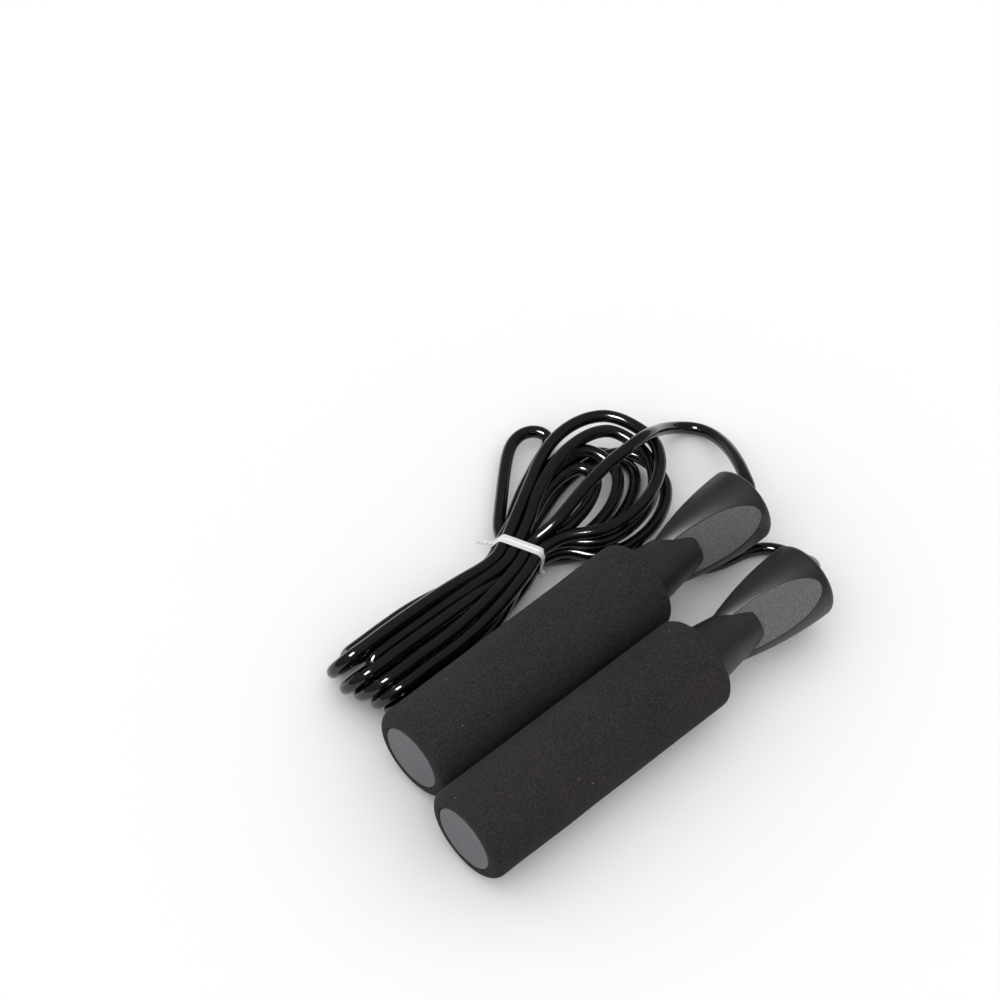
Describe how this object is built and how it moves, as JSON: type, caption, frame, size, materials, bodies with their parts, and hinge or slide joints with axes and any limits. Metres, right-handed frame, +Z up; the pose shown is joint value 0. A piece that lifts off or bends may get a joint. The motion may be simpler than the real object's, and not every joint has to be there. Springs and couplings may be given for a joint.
{
  "type": "jump rope",
  "caption": "Speed jump rope with foam-covered handles that spin on ball bearings in their flared heads, and a round black cord folded into a tied hank.",
  "frame": {"origin": "on the surface the rope lies on, at the middle of the two handles' bounding box", "axes": "+X along the right handle from its end plug towards its cord end, +Y towards the left handle and the hank, +Z up"},
  "size_m": [0.1864, 0.1405, 0.034],
  "materials": {
    "foam": "matt closed-cell foam, fine grain",
    "black_plastic": "satin moulded plastic",
    "grey_plug": "matt, slightly translucent",
    "black_cord": "smooth glossy PVC",
    "bearing_steel": "ground steel",
    "cage_brass": "plain",
    "sleeve_metal": "turned, bright",
    "tie_plastic": "white film over a thin wire"
  },
  "bodies": {
    "rope": {"left_bearing_inner_race": "bearing_steel", "left_cord_sleeve": "sleeve_metal", "left_thrust_washer": "sleeve_metal", "left_cord_ferrule": "sleeve_metal", "left_cord_end": "black_cord", "left_cord_lead": "black_cord", "right_bearing_inner_race": "bearing_steel", "right_cord_sleeve": "sleeve_metal", "right_thrust_washer": "sleeve_metal", "right_cord_ferrule": "sleeve_metal", "right_cord_end": "black_cord", "right_cord_lead": "black_cord", "cord_hank": "black_cord", "twist_tie": "tie_plastic"},
    "left_handle": {"left_handle_core": "black_plastic", "left_foam_grip": "foam", "left_end_plug": "grey_plug", "left_bearing_outer_race": "bearing_steel", "left_bearing_shields": "bearing_steel", "left_snap_ring": "bearing_steel"},
    "left_balls": {"left_bearing_balls": "bearing_steel", "left_bearing_cage": "cage_brass"},
    "right_handle": {"right_handle_core": "black_plastic", "right_foam_grip": "foam", "right_end_plug": "grey_plug", "right_bearing_outer_race": "bearing_steel", "right_bearing_shields": "bearing_steel", "right_snap_ring": "bearing_steel"},
    "right_balls": {"right_bearing_balls": "bearing_steel", "right_bearing_cage": "cage_brass"}
  },
  "joints": [
    {"name": "left_handle_spin", "type": "hinge", "parent": "rope", "child": "left_handle", "pos_m": [0.07417, 0.01906, 0.017], "axis": [0.9998, 0.0192, 0], "continuous": true},
    {"name": "left_ball_orbit", "type": "hinge", "parent": "rope", "child": "left_balls", "pos_m": [0.07417, 0.01906, 0.017], "axis": [0.9998, 0.0192, 0], "continuous": true},
    {"name": "right_handle_spin", "type": "hinge", "parent": "rope", "child": "right_handle", "pos_m": [0.067, -0.01815, 0.017], "axis": [1, 0, 0], "continuous": true},
    {"name": "right_ball_orbit", "type": "hinge", "parent": "rope", "child": "right_balls", "pos_m": [0.067, -0.01815, 0.017], "axis": [1, 0, 0], "continuous": true}
  ],
  "couplings": [
    {"joint": "left_ball_orbit", "follows": "left_handle_spin", "ratio": 0.6},
    {"joint": "right_ball_orbit", "follows": "right_handle_spin", "ratio": 0.6}
  ]
}
